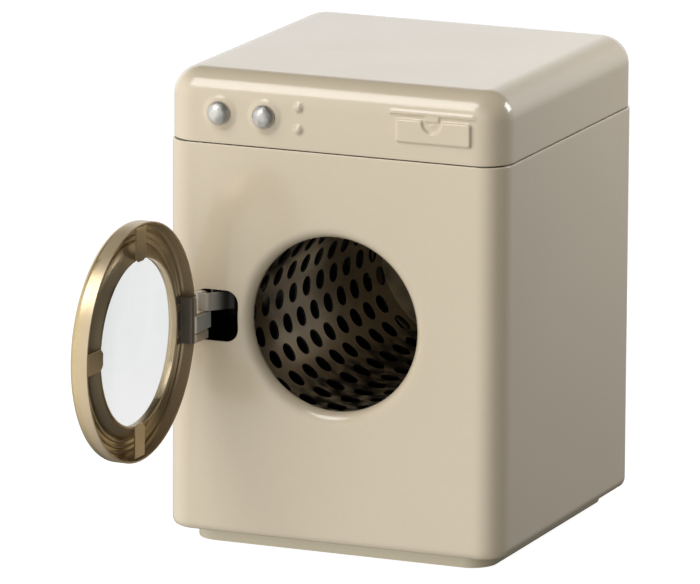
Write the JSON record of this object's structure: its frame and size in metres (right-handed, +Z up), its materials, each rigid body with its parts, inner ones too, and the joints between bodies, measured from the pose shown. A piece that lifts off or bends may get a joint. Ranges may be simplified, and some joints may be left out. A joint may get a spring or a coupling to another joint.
{
  "type": "toy washing machine",
  "caption": "Pressed-tin doll's-house front-loading washing machine with a round window door on a side hinge, a spinning perforated drum and turning knobs on an embossed panel.",
  "frame": {"origin": "centre of the plinth's underside, on the table", "axes": "+Z up, -Y towards the front with the door, +X to the right as seen by someone facing the front"},
  "size_m": [0.094, 0.1639, 0.1254],
  "materials": {
    "enamel": "glossy baked enamel, warm beige",
    "plinth_enamel": "satin enamel, warm beige",
    "drum_bronze": "satin bronzed steel, perforated",
    "antique_brass": "satin antique brass, clear lacquered",
    "hinge_steel": "satin plated steel",
    "bright_steel": "plain plated steel",
    "pewter": "polished pewter with soft dents",
    "clear_pane": "clear, slightly smoked sheet"
  },
  "bodies": {
    "cabinet": {"body_shell": "enamel", "top_cap": "enamel", "base_pan": "plinth_enamel", "axle_plate": "bright_steel", "axle_bush": "bright_steel", "drum_axle": "bright_steel", "axle_washer": "bright_steel", "hinge_bracket": "hinge_steel", "hinge_pin": "bright_steel"},
    "drum": {"drum_shell": "drum_bronze", "drum_back": "drum_bronze", "drum_hub": "bright_steel", "hub_rivets": "bright_steel"},
    "door": {"door_ring": "antique_brass", "door_pane": "clear_pane", "clip_top": "antique_brass", "clip_side": "antique_brass", "clip_bottom": "antique_brass", "door_leaf": "hinge_steel", "leaf_rivets": "antique_brass"},
    "left_knob": {"knob_left": "pewter", "knob_left_washer": "bright_steel"},
    "right_knob": {"knob_right": "pewter", "knob_right_washer": "bright_steel"}
  },
  "joints": [
    {"name": "door_swing", "type": "hinge", "parent": "cabinet", "child": "door", "pos_m": [-0.036, -0.0484, 0.0614], "axis": [0, 0, 1], "range_deg": [-15, 92]},
    {"name": "drum_spin", "type": "hinge", "parent": "cabinet", "child": "drum", "pos_m": [0, 0, 0.0614], "axis": [0, 1, 0], "continuous": true},
    {"name": "left_knob_turn", "type": "hinge", "parent": "cabinet", "child": "left_knob", "pos_m": [-0.0313, -0.0481, 0.1148], "axis": [0, 1, 0], "continuous": true},
    {"name": "right_knob_turn", "type": "hinge", "parent": "cabinet", "child": "right_knob", "pos_m": [-0.0188, -0.0481, 0.1148], "axis": [0, 1, 0], "continuous": true}
  ]
}
